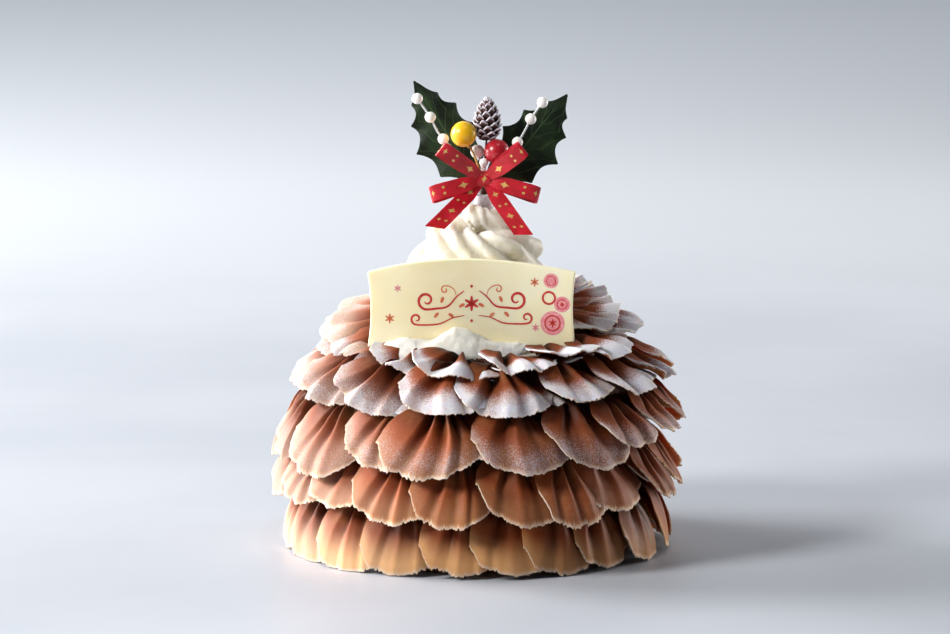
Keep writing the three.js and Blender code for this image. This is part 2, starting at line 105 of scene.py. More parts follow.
LEAF_HALF_WIDTH, LEAF_THICKNESS = 12.2, 0.45
OUTER_HALF, INNER_HALF = 1.24, 0.96
CONE = dict(x=3.5, y=3.0, foot=157.5, height=17.5, radius=5.1, core=2.9, scales=66)
YELLOW_BALL = dict(place=(-5.6, -2.6, 160.4), radius=5, wire=210)
RED_BERRY = dict(place=(7.2, -2.6, 153.6), radius=4.9, wire=330)
PEARL = dict(place=(-0.3, 1.8, 153.2), radius=2.7, wire=250)
SMALL_BEAD = dict(place=(2.2, -4.3, 149.6), radius=1.7, wire=290)
SPRAY_PEARL_RADIUS = 2.15
SPRAYS = [
    dict(name="pearl_spray_left", pearls=[(-13.4, 158.2), (-18.4, 166.6), (-23.4, 173.8)], y=0.6, wire=170),
    dict(name="pearl_spray_right", pearls=[(15.2, 156.8), (20.3, 165.8), (24.8, 172.2)], y=1.9, wire=10),
]


def chance(a, b, c):
    """A number from 0 to 1 that stays the same for the same seeds."""
    value = math.sin(a * 12.9898 + b * 78.233 + c * 37.719) * 43758.5453
    return value - math.floor(value)


def fade(low, high, value):
    """Rises smoothly from 0 at low to 1 at high."""
    part = np.clip((value - low) / (high - low), 0, 1)
    return part * part * (3 - 2 * part)


def smooth_path(points, count):
    """A number of points on a smooth line through the given ones."""
    points = np.array(points, float)
    last = len(points) - 1
    at = np.linspace(0, last, count)
    first = np.minimum(at.astype(int), last - 1)
    part = (at - first)[:, None]
    a, b, c, d = (points[np.clip(first + shift, 0, last)] for shift in (-1, 0, 1, 2))
    return 0.5 * (2 * b + (c - a) * part + (2 * a - 5 * b + 4 * c - d) * part ** 2
                  + (3 * b - a - 3 * c + d) * part ** 3)


# Making pieces

TUBE_ROUNDNESS = 3
BALL_GRID = (40, 24)


def deselect():
    bpy.ops.object.select_all(action="DESELECT")


def select_only(*pieces):
    deselect()
    for piece in pieces:
        piece.select_set(True)
    bpy.context.view_layer.objects.active = pieces[0]


def apply_modifier(piece, kind, **settings):
    select_only(piece)
    modifier = piece.modifiers.new(kind.lower(), kind)
    for key, value in settings.items():
        setattr(modifier, key, value)
    bpy.ops.object.modifier_apply(modifier=modifier.name)


def shaped_grid(columns, rows, shape, flip=False, uv_size=(1, 1)):
    """A flat grid whose points move to shape(across, along), two arrays from 0 to 1."""
    deselect()
    bpy.ops.mesh.primitive_grid_add(x_subdivisions=columns, y_subdivisions=rows, size=1)
    piece = bpy.context.object
    mesh = piece.data
    flat = np.empty(3 * len(mesh.vertices))
    mesh.vertices.foreach_get("co", flat)
    across, along = flat.reshape(-1, 3)[:, 0] + 0.5, flat.reshape(-1, 3)[:, 1] + 0.5
    mesh.vertices.foreach_set("co", (np.column_stack(shape(across, along)) * MM).ravel())
    layer = mesh.uv_layers[0].data
    places = np.empty(2 * len(layer))
    layer.foreach_get("uv", places)
    layer.foreach_set("uv", (places.reshape(-1, 2) * uv_size).ravel())
    if flip:
        mesh.flip_normals()
    mesh.update()
    return piece


def weld(piece, distance=0.002):
    """Closes seams and poles."""
    select_only(piece)
    bpy.ops.object.mode_set(mode="EDIT")
    bpy.ops.mesh.select_all(action="SELECT")
    bpy.ops.mesh.remove_doubles(threshold=distance * MM)
    bpy.ops.mesh.normals_make_consistent(inside=False)
    bpy.ops.object.mode_set(mode="OBJECT")
    return piece


def point_values(piece, name, values):
    attribute = piece.data.attributes.new(name, "FLOAT", "POINT")
    attribute.data.foreach_set("value", np.asarray(values, np.float32))


def tube(points, radius, outline=None, radii=None, tilts=None):
    """A round wire, or a rope of the given outline, along a line of points."""
    deselect()
    bpy.ops.curve.primitive_nurbs_path_add()
    piece = bpy.context.object
    line = piece.data
    line.splines.clear()
    spline = line.splines.new("POLY")
    spline.points.add(len(points) - 1)
    weights = np.ones(len(points))
    spline.points.foreach_set("co", np.column_stack([np.array(points) * MM, weights]).ravel())
    if radii is not None:
        spline.points.foreach_set("radius", np.asarray(radii, np.float32))
    if tilts is not None:
        spline.points.foreach_set("tilt", np.asarray(tilts, np.float32))
    line.twist_mode = "Z_UP" if outline else "MINIMUM"
    if outline:
        line.bevel_mode = "OBJECT"
        line.bevel_object = outline
    else:
        line.bevel_depth = radius * MM
        line.bevel_resolution = TUBE_ROUNDNESS
    line.use_fill_caps = True
    select_only(piece)
    bpy.ops.object.convert(target="MESH")
    return bpy.context.object


def turned(profile, x, around, rows):
    """A round piece on an upright axis, from radius and height."""
    profile = np.array(profile, float)
    index = np.arange(len(profile))

    def shape(u, v):
        at = v * (len(profile) - 1)
        radius = np.interp(at, index, profile[:, 0])
        height = np.interp(at, index, profile[:, 1])
        turn = 2 * math.pi * u
        return x + radius * np.cos(turn), radius * np.sin(turn), height

    return weld(shaped_grid(around, rows, shape))


def ball(place, radius):
    deselect()
    segments, rings = BALL_GRID
    bpy.ops.mesh.primitive_uv_sphere_add(segments=segments, ring_count=rings, radius=radius * MM,
                                         location=[value * MM for value in place])
    bpy.ops.object.transform_apply(location=True, rotation=True, scale=True)
    return bpy.context.object


def paint(piece, *materials):
    piece.data.materials.clear()
    for material in materials:
        piece.data.materials.append(material)
    return piece


def join(pieces):
    select_only(*pieces)
    if len(pieces) > 1:
        bpy.ops.object.join()
    return bpy.context.object


def finish(piece, name, slot, *nodes, angle=50):
    """Smooth shading, a name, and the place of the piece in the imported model."""
    select_only(piece)
    bpy.ops.object.shade_smooth_by_angle(angle=math.radians(angle))
    piece.name = piece.data.name = name
    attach(piece, "root")
    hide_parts(*nodes)


# Making finishes

def tint(red, green, blue):
    """A colour from 0-255 values as they look on a screen."""
    return tuple(((value / 255 + 0.055) / 1.055) ** 2.4 if value > 10 else value / 3295
                 for value in (red, green, blue)) + (1,)


RIM_COLOUR = tint(241, 217, 198)
# Pale pink of the thin sugar veil, which partly stands in for the haze of light on the lit left.
FILM_AND_PAINTED_LIGHT_COLOUR = tint(220, 195, 182)
SUGAR_COLOUR = tint(228, 227, 235)
TONE_MIDDLE, TONE_RANGE = 0.9, 0.2
FOIL_PITCH, FOIL_MIDDLE, FOIL_REACH = 0.0052, 0.003, 0.0026
STAR_PINCH = 0.62


class Finish:
    """A material in the making."""

    def __init__(self, name):
        self.material = bpy.data.materials.new(name)
        self.material.use_nodes = True
        self.tree = self.material.node_tree
        self.surface = self.tree.nodes["Principled BSDF"]
        self.places = self.tree.nodes.new("ShaderNodeTexCoord")

    def set(self, node, values):
        for key, value in values.items():
            socket = node.inputs[key]
            if isinstance(value, bpy.types.NodeSocket):
                self.tree.links.new(value, socket)
            else:
                socket.default_value = value
        return node

    def look(self, **values):
        self.set(self.surface, {key.replace("_", " "): value for key, value in values.items()})

    def node(self, kind, values, output=0, **settings):
        made = self.tree.nodes.new("ShaderNode" + kind)
        for key, value in settings.items():
            setattr(made, key, value)
        return self.set(made, values).outputs[output]

    def attribute(self, name):
        return self.node("Attribute", {}, "Fac", attribute_name=name)

    def noise(self, scale, detail=3, roughness=0.55):
        return self.node("TexNoise", {"Vector": self.places.outputs["Object"], "Scale": scale,
                                      "Detail": detail, "Roughness": roughness}, "Fac")

    def fade(self, value, low, high, to_low=0.0, to_high=1.0):
        return self.node("MapRange", {"Value": value, "From Min": low, "From Max": high, "To Min": to_low,
                                      "To Max": to_high}, interpolation_type="SMOOTHSTEP")

    def math(self, operation, a, b=0.0):
        return self.node("Math", {0: a, 1: b}, operation=operation)

    def times(self, a, b):
        return self.math("MULTIPLY", a, b)

    def plus(self, a, b):
        return self.math("ADD", a, b)

    def minus(self, a, b):
        return self.math("SUBTRACT", a, b)

    def mix(self, factor, a, b):
        return self.node("Mix", {0: factor, 6: a, 7: b}, 2, data_type="RGBA")

    def split(self, vector):
        return self.set(self.tree.nodes.new("ShaderNodeSeparateXYZ"), {0: vector}).outputs

    def bump(self, height, distance, strength=1.0):
        normal = self.node("Bump", {"Height": height, "Distance": distance * MM, "Strength": strength})
        self.set(self.surface, {"Normal": normal})


def chocolate(name, ridge, valley_shade, root, edge, dusted):
    """Milk chocolate with painted shade in the folds and at the root, paler towards the thin broken edge,
    partly its own colour and partly painted light, with a thin veil of icing sugar that is partly painted
    light on the lit far left, and icing sugar on what faces up."""
    skin = Finish(name)
    along = skin.split(skin.places.outputs["UV"])[1]
    # Painted shade: the folds take the darker colour in their hollows, where shade falls.
    colour = skin.mix(skin.attribute("ridge"), valley_shade, ridge)
    # Painted shade: each petal darkens towards its root, under the overhang of the row above.
    colour = skin.mix(skin.fade(along, 0.12, 0.72, 1.0, 0.0), colour, root)
    bloom = skin.fade(skin.noise(90), 0.45, 0.75, 0.0, 0.1)
    colour = skin.mix(bloom, colour, edge)
    # Paler towards the thin edge: partly its own colour, partly painted light for light passing through it.
    pale = skin.times(skin.fade(along, 0.58, 1.0, 0.0, 0.7), skin.attribute("pale"))
    colour = skin.mix(pale, colour, edge)
    thin_edge = skin.fade(along, 0.93, 1.0, 0.0, 0.6)
    colour = skin.mix(thin_edge, colour, edge)
    rim = skin.fade(along, 0.955, 1.0, 0.0, 0.75)
    colour = skin.mix(rim, colour, RIM_COLOUR)
    value = skin.math("MULTIPLY_ADD", skin.attribute("tone"), TONE_RANGE)
    value.node.inputs[2].default_value = TONE_MIDDLE
    colour = skin.node("HueSaturation", {"Color": colour, "Value": value})
    # Partly thin icing sugar, partly painted light: a pale pink haze, strongest on the lit far left.
    sugar_film_and_painted_light = skin.times(skin.attribute("sugar_film_and_painted_light"), dusted)
    colour = skin.mix(sugar_film_and_painted_light, colour, FILM_AND_PAINTED_LIGHT_COLOUR)

    sugar = skin.times(skin.attribute("dust"), dusted)
    normal = skin.split(skin.node("NewGeometry", {}, "Normal"))
    facing_up = skin.fade(normal[2], -0.8, 0.3)
    sugar = skin.times(sugar, facing_up)
    patches = skin.fade(skin.noise(130), 0.28, 0.7, 0.78, 1.08)
    sugar = skin.times(sugar, patches)
    grain = skin.noise(2400, 3, 0.7)
    speckle = skin.times(skin.minus(grain, 0.5), 1.3)
    mask = skin.fade(skin.plus(speckle, sugar), 0.2, 0.85, 0.0, 0.9)
    colour = skin.mix(mask, colour, SUGAR_COLOUR)
    skin.look(Base_Color=colour, Subsurface_Weight=0.32, Subsurface_Scale=0.0028,
              Subsurface_Radius=(1.0, 0.42, 0.15), Roughness=skin.fade(mask, 0, 1, 0.5, 0.95),
              Specular_IOR_Level=0.12, Sheen_Weight=0.03, Sheen_Roughness=0.3,
              Sheen_Tint=(1.0, 0.9, 0.87, 1))
    height = skin.plus(skin.times(mask, grain), skin.noise(420))
    skin.bump(height, 0.24, 0.6)
    return skin.material


def cream(name, colour, pale):
    skin = Finish(name)
    patches = skin.fade(skin.noise(120), 0.35, 0.7)
    skin.look(Base_Color=skin.mix(patches, colour, pale), Subsurface_Weight=0.8,
              Subsurface_Scale=0.009, Subsurface_Radius=(1.0, 0.95, 0.8),
              Roughness=skin.fade(skin.noise(260, 2), 0.3, 0.7, 0.42, 0.62))
    skin.bump(skin.plus(skin.noise(420, 4), skin.noise(1500, 2)), 0.35, 0.35)
    return skin.material


def cake_coat():
    """Dark chocolate mousse on the side, whipped cream on the top."""
    skin = Finish("mousse and cream")
    height = skin.split(skin.places.outputs["Object"])[2]
    crumb = skin.noise(480, 5, 0.65)
    mousse = skin.mix(skin.fade(crumb, 0.35, 0.68), tint(58, 28, 17), tint(104, 58, 36))
    top = skin.fade(height, 0.0785, 0.0805)
    skin.look(Base_Color=skin.mix(top, mousse, tint(246, 240, 224)), Roughness=0.75)
    skin.bump(crumb, 0.8, 0.7)
    return skin.material


def white_chocolate():
    skin = Finish("white chocolate")
    clouds = skin.fade(skin.noise(45), 0.35, 0.68)
    skin.look(Base_Color=skin.mix(clouds, tint(246, 234, 192), tint(251, 242, 210)),
              Subsurface_Weight=0.3, Subsurface_Scale=0.003, Subsurface_Radius=(1.0, 0.8, 0.45),
              Roughness=skin.fade(skin.noise(160), 0.3, 0.7, 0.3, 0.46))
    skin.bump(skin.noise(300), 0.1, 0.35)
    return skin.material


def cocoa_print(name, colour, faded):
    """Coloured cocoa butter, printed a little unevenly."""
    skin = Finish(name)
    thin = skin.fade(skin.noise(700, 3), 0.42, 0.7)
    skin.look(Base_Color=skin.mix(thin, colour, faded), Roughness=0.4)
    return skin.material


def satin_ribbon():
    """Woven red satin with gold foil stars and pairs of dots, in turn along the ribbon."""
    skin = Finish("red satin")
    run, width = skin.split(skin.places.outputs["UV"])[0:2]
    cell = skin.math("DIVIDE", run, FOIL_PITCH)
    across = skin.math("DIVIDE", skin.minus(width, FOIL_MIDDLE), FOIL_REACH)
    step = skin.minus(skin.math("FRACT", cell), 0.5)
    is_odd = skin.math("GREATER_THAN", skin.math("FRACT", skin.times(cell, 0.5)), 0.5)
    star_x = skin.math("ABSOLUTE", step)
    star_y = skin.math("ABSOLUTE", skin.times(across, 0.5))
    star = skin.plus(skin.math("POWER", star_x, STAR_PINCH), skin.math("POWER", star_y, STAR_PINCH))
    star = skin.times(skin.math("LESS_THAN", star, 0.47), is_odd)
    dot_x = skin.times(step, 2.0)
    dot_y = skin.minus(skin.math("ABSOLUTE", across), 0.45)
    dot = skin.plus(skin.times(dot_x, dot_x), skin.times(dot_y, dot_y))
    dot = skin.times(skin.math("LESS_THAN", dot, 0.035), skin.minus(1.0, is_odd))
    gold = skin.math("MAXIMUM", star, dot)
    weave = skin.node("TexWave", {"Vector": skin.places.outputs["UV"], "Scale": 900.0, "Distortion": 1.0},
                      "Fac", bands_direction="Y")
    red = skin.mix(skin.fade(skin.noise(240, 2), 0.35, 0.7), tint(174, 4, 22), tint(202, 12, 40))
    skin.look(Base_Color=skin.mix(gold, red, tint(232, 184, 110)),
              Metallic=skin.times(gold, 0.35), Roughness=skin.fade(gold, 0, 1, 0.36, 0.22),
              Sheen_Weight=0.1, Sheen_Roughness=0.4)
    skin.bump(weave, 0.03, 0.5)
    return skin.material


def holly_cloth():
    """Waxed dark green cloth with a midrib and side veins."""
    skin = Finish("green waxed cloth")
    across, along = skin.split(skin.places.outputs["UV"])[0:2]
    side = skin.math("ABSOLUTE", skin.minus(across, 0.5))
    rib = skin.fade(side, 0.012, 0.035, 1.0, 0.0)
    bend = skin.minus(skin.times(along, 7.0), skin.times(side, 4.2))
    vein = skin.math("ABSOLUTE", skin.minus(skin.math("FRACT", bend), 0.5))
    vein = skin.math("MAXIMUM", rib, skin.fade(vein, 0.02, 0.1, 0.8, 0.0))
    net = skin.node("TexVoronoi", {"Vector": skin.places.outputs["Object"], "Scale": 700.0}, "Distance",
                    feature="DISTANCE_TO_EDGE")
    colour = skin.mix(skin.fade(skin.noise(150, 4), 0.35, 0.7), tint(14, 24, 13), tint(34, 52, 27))
    colour = skin.mix(skin.times(vein, 0.55), colour, tint(58, 82, 44))
    skin.look(Base_Color=colour, Roughness=skin.fade(skin.noise(500, 2), 0.3, 0.7, 0.5, 0.68),
              Specular_IOR_Level=0.2)
    height = skin.plus(skin.times(vein, 1.5), skin.fade(net, 0.0, 0.12, 0.0, 0.35))
    skin.bump(height, 0.18, 0.8)
    return skin.material


def frosted_scales():
    """Brown cone scales with white frost on their tips and upper sides."""
    skin = Finish("frosted cone")
    along = skin.split(skin.places.outputs["UV"])[1]
    wood = skin.mix(skin.noise(900, 3), tint(58, 36, 32), tint(112, 78, 70))
    normal = skin.split(skin.node("NewGeometry", {}, "Normal"))
    frost = skin.plus(skin.fade(along, 0.62, 0.98), skin.fade(normal[2], 0.35, 1.0, 0.0, 0.3))
    frost = skin.plus(frost, skin.times(skin.noise(1400, 3), 0.7))
    frost = skin.fade(frost, 0.85, 1.2)
    skin.look(Base_Color=skin.mix(frost, wood, tint(206, 200, 208)), Roughness=0.8)
    skin.bump(skin.noise(1500, 3), 0.15, 0.7)
    return skin.material


def lacquer(name, dark, light, roughness, coat):
    skin = Finish(name)
    colour = skin.mix(skin.fade(skin.noise(220, 3), 0.35, 0.7), dark, light)
    skin.look(Base_Color=colour, Roughness=roughness, Coat_Weight=coat, Coat_Roughness=0.08)
    skin.bump(skin.noise(900, 2), 0.04, 0.35)
    return skin.material


def pearl_shell():
    skin = Finish("pearl")
    edge = skin.node("LayerWeight", {"Blend": 0.35}, "Facing")
    skin.look(Base_Color=tint(248, 244, 240), Roughness=0.34, Coat_Weight=0.25, Coat_Roughness=0.1,
              Sheen_Weight=skin.times(edge, 0.3))
    skin.bump(skin.noise(700, 2), 0.03, 0.3)
    return skin.material


def wire_wrap(name, colour, shade):
    """Wire wound with fine paper thread."""
    skin = Finish(name)
    turns = skin.node("TexWave", {"Vector": skin.places.outputs["Object"], "Scale": 520.0,
                                  "Distortion": 0.6}, "Fac", bands_direction="Z")
    skin.look(Base_Color=skin.mix(turns, shade, colour), Roughness=0.5)
    skin.bump(turns, 0.08, 0.6)
    return skin.material


def clear_plastic():
    skin = Finish("clear plastic")
    haze = skin.fade(skin.noise(260, 3), 0.35, 0.7, 0.12, 0.3)
    skin.look(Base_Color=tint(244, 246, 248), Roughness=haze, Transmission_Weight=0.3, IOR=1.45)
    return skin.material


# Chocolate fans

FAN_ACROSS = (-0.17, 1.24)
FAN_GRID = (92, 15)
BACK_GRID = (60, 8)
BACK_SEED = 40
CHIP_SIZE, NOTCH_DEPTH, NOTCH_FROM = 0.007, 0.02, 0.92
FOLD_MOST, WRINKLE = 1.4, 0.13
LONGEST = 1.14
LOWEST = 0.3
BACK_LEFT = -0.2


def fold_line(row, seed, fan):
    """Heights of a petal's folds, up and down in turn, and their places from one side to the other."""
    pleats = row["pleats"] - int(row["pleats"] > 2 and chance(seed, fan, 8) > 0.6)
    last = 2 * pleats
    heights = [(1 if fold % 2 == 0 else -1) * (0.5 + 0.9 * chance(seed, fan, 10 + fold))
               for fold in range(last + 1)]
    heights[-1] = -0.4 * heights[-1]
    places = [(fold + 0.55 * (chance(seed, fan, 20 + fold) - 0.5) * (0 < fold < last)) / last
              for fold in range(last + 1)]
    return np.array(heights), np.array(places)


def fan_shape(row, fan, pitch, first, behind):
    """One petal of a row: pleats gathered at its root, a rounded, finely chipped edge and a left side
    that lies over its neighbour. The petals behind fill the gaps of those in front.
    Returns the shaping function and what the finish needs to know."""
    seed = row["seed"] + BACK_SEED * behind
    middle = first + pitch * (fan + 0.5 + 0.5 * behind + 0.36 * (chance(seed, fan, 1) - 0.5))
    length = 1 + row["uneven"] * (chance(seed, fan, 2) - 0.5) - 0.17 * behind
    breadth = 0.88 + 0.3 * chance(seed, fan, 30)
    lifted = 2.2 * (chance(seed, fan, 3) - 0.5)
    lower = 12 * row["uneven"] * (chance(seed, fan, 9) - 0.5)
    skew = 1.2 * row["uneven"] * (chance(seed, fan, 7) - 0.5)
    crispness = 0.45 + 0.4 * chance(seed, fan, 4)
    drift = 1.3 * (chance(seed, fan, 5) - 0.5)
    folds, places = fold_line(row, seed, fan)
    draw = np.random.default_rng(1000 * seed + fan)
    edge_points = (BACK_GRID if behind else FAN_GRID)[0] + 1
    chips = draw.normal(0, CHIP_SIZE, edge_points) - NOTCH_DEPTH * (draw.random(edge_points) > NOTCH_FROM)
    root, bow, tip = (np.array(row[key], float) for key in ("root", "bow", "tip"))
    droop, tilt, dip, drop, rise, left, turn = (
        row.get(key, 0) for key in ("droop", "tilt", "dip", "drop", "rise", "left", "turn"))
    values = {}

    def shape(u, v):
        across = FAN_ACROSS[0] + (FAN_ACROSS[1] - FAN_ACROSS[0]) * u

        # Folds, narrow at the root and spread towards the edge.
        gather = 0.5 + (across - 0.5) / (0.46 + 0.54 * v ** 0.7)
        swept = np.clip(gather + drift * (1 - v) * v * 0.6, 0, 1)
        at = np.interp(swept, places, np.arange(len(folds)))
        before = np.minimum(at.astype(int), len(folds) - 2)
        blend = fade(0, 1, at - before)
        fold = folds[before] * (1 - blend) + folds[before + 1] * blend
        ridge = np.clip((fold + FOLD_MOST) / (2 * FOLD_MOST), 0, 1) ** crispness
        fold = 2 * FOLD_MOST * ridge - FOLD_MOST
        fold = fold + WRINKLE * np.sin(31 * swept + 6 * length) * v

        # How far the petal reaches, from 0 at the root to about 1 at the edge.
        side = np.abs(2 * u - 1)
        reach = length * (1 - row["scallop"] * side ** 2.2 - 0.14 * fade(0.72, 1, side))
        reach = reach + skew * 0.5 * (2 * across - 1) + 0.025 * (ridge - 0.5)
        chipped = np.interp(u, np.linspace(0, 1, len(chips)), chips)
        along = v * np.minimum(reach, LONGEST) + chipped * fade(0.85, 1, v)

        # The bow from root to tip, and its direction.
        point = [(1 - along) ** 2 * root[i] + 2 * along * (1 - along) * bow[i] + along ** 2 * tip[i]
                 for i in (0, 1)]
        run = [2 * (1 - along) * (bow[i] - root[i]) + 2 * along * (tip[i] - bow[i]) for i in (0, 1)]
        size = np.hypot(*run)

        # How far the petal stands off that bow.
        gathered = (0.5 + 1.0 * fade(0, 0.25, v)) * (1 - 0.8 * fade(0.25, 0.95, v))
        offset = row["ruffle"] * (1 - 0.45 * behind) * fold * gathered
        offset = offset + (row["step"] * (0.5 - across) + lifted) * v
        offset = offset + (row["flare"] * (1 - 0.5 * behind) * fold + row["lip"]) * fade(0.45, 1, along)
        tucked = (2 + 1.6 * row["ruffle"]) * fade(0.84, 1.2, across)
        offset = offset - (tucked + behind * (1.5 + 2.2 * row["ruffle"])) * fade(0, 0.3, v)

        # Where it lies round the cake, and how much lower it hangs there.
        spread = 0.34 + (0.68 * breadth) * np.sin(math.pi / 2 * np.minimum(1, v / 0.8))
        angle = middle + (across - 0.5) * pitch * spread
        angle = angle + row["lean"] * (1 - 0.6 * behind) * v * np.cos(angle)
        to_right, to_front = np.cos(angle), -np.sin(angle)
        at_left = fade(0.3, 0.9, -to_right)
        lowered = along * (droop * (1 - 0.4 * behind) * at_left - tilt * to_right)
        lowered = lowered + dip * np.maximum(0, to_front) ** 0.8 * (1 - 0.6 * v)
        lowered = lowered + drop * along * fade(-0.5, 0.5, to_front) * (1 - 0.9 * at_left)
        lowered = lowered - rise * fade(0.6, 1, np.abs(to_right)) * (1 - v)
        radius = point[0] - run[1] / size * offset + 0.25 * lowered + left * along * at_left
        height = point[1] + run[0] / size * offset - lowered - lower * v
        height = height + turn * to_right * (across - 0.5) * v

        # What the finish needs: folds with painted shade in their hollows, icing sugar, paleness and a sugar
        # veil, both partly painted light.
        front_left = np.maximum(0, -np.cos(angle - 0.35))
        far_left = np.maximum(0, -to_right) ** 2
        bare = 0.14 * front_left + 0.4 * far_left
        values["ridge"] = ridge
        values["dust"] = row["dust"] * fade(0.42, 0.95, v) * (0.6 + 0.4 * ridge) * (1 - bare)
        # The pale edge is partly painted light: it is made less pale on the shaded right and on the brightly
        # lit far left.
        values["pale"] = row["pale"] * (1 - 0.6 * fade(-0.15, 0.6, to_right) - 0.3 * far_left)
        # Painted light: the sugar veil is laid mostly on the brightly lit far left, as a pale haze of light.
        values["sugar_film_and_painted_light"] = row["sugar_film_and_painted_light"] * fade(0.4, 1, v) * (0.05 + 1.5 * far_left)
        values["tone"] = np.full(len(u), 2 * chance(seed, fan, 6) - 1)
        return radius * to_right, radius * np.sin(angle), np.maximum(height, LOWEST)

    return shape, values


def fan_row(row, first, last):
    """A ring of petals in front and a ring behind. An open ring has none behind at the back left."""
    pitch = (last - first) / row["count"]
    is_open = last - first < ROW_TO - ROW_FROM
    petals = []
    for behind, grid in enumerate((FAN_GRID, BACK_GRID)):
        for fan in range(row["count"] - (behind and is_open)):
            if behind and is_open and math.cos(first + pitch * (fan + 1)) < BACK_LEFT:
                continue
            shape, values = fan_shape(row, fan, pitch, first, behind)
            petal = shaped_grid(*grid, shape, flip=True)
            for name, numbers in values.items():
                point_values(petal, name, numbers)
            paint(petal, CHOCOLATE, CHOCOLATE_UNDERSIDE)
            apply_modifier(petal, "SOLIDIFY", thickness=FAN_THICKNESS * MM, offset=-1, material_offset=1)
            petals.append(petal)
    finish(join(petals), row["name"] + "_petals", "milk_chocolate", row["name"])


# Cake, cream and plaque

NOZZLE_POINTS, NOZZLE_RIBS = 72, 5
SWIRL_START, SWIRL_TURNS, SWIRL_TWIST = math.radians(-60), 3.3, 34
SWIRL_STAGES = [0, 0.3, 0.55, 0.8, 0.93, 1]
SWIRL_RADII = [19.6, 19.5, 15.4, 9.2, 5.6, 3.6]
SWIRL_HEIGHTS = [94.4, 101.5, 112.4, 121.8, 128.2, 132.0]
ROPE_STAGES = [0, 0.04, 0.3, 0.55, 0.8, 0.93, 1]
ROPE_RADII = [8, 11.6, 11.4, 10.6, 8.0, 5.0, 2.4]
CREAM_GRAIN = 0.6
PRINT_THICKNESS, PRINT_LIFT = 0.1, 0.05


def cake():
    finish(paint(turned(CAKE_PROFILE, 0, 96, 56), COAT), "coated_cake", "sponge_cake", "cake_body")


def star_nozzle():
    """Outline of the piping nozzle, one unit is one millimetre of rope radius."""
    deselect()
    bpy.ops.curve.primitive_nurbs_circle_add()
    outline = bpy.context.object
    outline.data.splines.clear()
    spline = outline.data.splines.new("POLY")
    turn = np.linspace(0, 2 * math.pi, NOZZLE_POINTS, endpoint=False)
    radius = MM * (0.62 + 0.38 * np.abs(np.cos(NOZZLE_RIBS / 2 * turn)) ** 0.9)
    spline.points.add(NOZZLE_POINTS - 1)
    heights, weights = np.zeros(NOZZLE_POINTS), np.ones(NOZZLE_POINTS)
    places = np.column_stack([radius * np.cos(turn), radius * np.sin(turn), heights, weights])
    spline.points.foreach_set("co", places.ravel())
    spline.use_cyclic_u = True
    return outline


def make_lumpy(piece, size, depth):
    lumps = bpy.data.textures.new("cream lumps", "CLOUDS")
    lumps.noise_scale = size * MM
    apply_modifier(piece, "DISPLACE", texture=lumps, texture_coords="LOCAL", strength=depth * MM,
                   mid_level=0.5)


def cream_swirl():
    """A ribbed rope of cream wound up to a point, over a core that fills its inside."""
    outline = star_nozzle()
    along = np.linspace(0, 1, 420)
    turn = SWIRL_START - 2 * math.pi * SWIRL_TURNS * along
    wobble = 0.7 * np.sin(31 * along) + 0.5 * np.sin(73 * along + 1)
    radius = np.interp(along, SWIRL_STAGES, SWIRL_RADII) + wobble
    height = np.interp(along, SWIRL_STAGES, SWIRL_HEIGHTS)
    points = np.column_stack([radius * np.cos(turn), radius * np.sin(turn), height])
    thick = np.interp(along, ROPE_STAGES, ROPE_RADII)
    thick = thick * (1 + 0.05 * np.sin(47 * along) + 0.04 * np.sin(113 * along + 2))
    rope = tube(points, 1, outline, thick, SWIRL_TWIST * along + 0.5 * np.sin(40 * along))
    bpy.data.objects.remove(outline)
    core = [ball((0, 0, 96), 19), ball((0, 0, 110), 14)]
    piece = join([rope, *core])
    apply_modifier(piece, "REMESH", mode="VOXEL", voxel_size=CREAM_GRAIN * MM)
    make_lumpy(piece, 6, 1.6)
    apply_modifier(piece, "SMOOTH", iterations=2, factor=0.5)
    finish(paint(piece, CREAM), "piped_cream", "whipped_cream", "cream_swirl", angle=180)


def plaque_face(x):
    across = (x - PLAQUE["left"]) / (PLAQUE["right"] - PLAQUE["left"])
    return PLAQUE["y"] - PLAQUE["wave"] * np.sin(2 * math.pi * (across + 0.04))


def cream_dab():
    """Cream smeared against the foot of the plaque, drawn up into a peak."""

    def shape(u, v):
        across = -np.cos(math.pi * np.clip(u, 0.004, 0.996))
        fill = np.sqrt(np.maximum(0, 1 - across ** 2))
        x = DAB["x"] + DAB["half_width"] * across
        peak = 3.4 * np.exp(-((across - 0.02) / 0.24) ** 2)
        swell = DAB["height"] + 0.7 * np.sin(7 * across + 0.6) + peak
        swell = swell - 2.2 * fade(0.15, 0.8, across)
        stages = [0, 0.16, 0.32, 0.6, 0.86, 1]
        out = np.interp(v, stages, [0, 0, 0.25, 0.62, 0.95, 1])
        up = np.interp(v, stages, [0, 0.8, 1, 0.82, 0.42, 0])
        crease = 0.5 * np.sin(9 * across + 7 * out) + 0.3 * np.sin(21 * across - 9 * out)
        height = swell * fill ** 0.8 * up + crease * fill * np.sin(math.pi * np.clip(out, 0, 1)) * 1.1
        y = plaque_face(x) - 0.35 - DAB["depth"] * fill * out
        return x, y, DAB["foot"] - DAB["hang"] * fill * out ** 1.5 + np.maximum(height, 0)

    piece = shaped_grid(90, 26, shape, flip=True)
    apply_modifier(piece, "SUBSURF", levels=1, render_levels=1)
    make_lumpy(piece, 4, 1.3)
    select_only(piece)
    bpy.ops.object.mode_set(mode="EDIT")
    bpy.ops.mesh.select_all(action="SELECT")
    bpy.ops.mesh.edge_face_add()
    bpy.ops.object.mode_set(mode="OBJECT")
    finish(paint(weld(piece), SMEAR_PAINTED_LIGHTER), "cream_smear", "whipped_cream", "cream_dab", angle=180)


def on_plaque(x, z, lift):
    return x, plaque_face(x) - lift, z


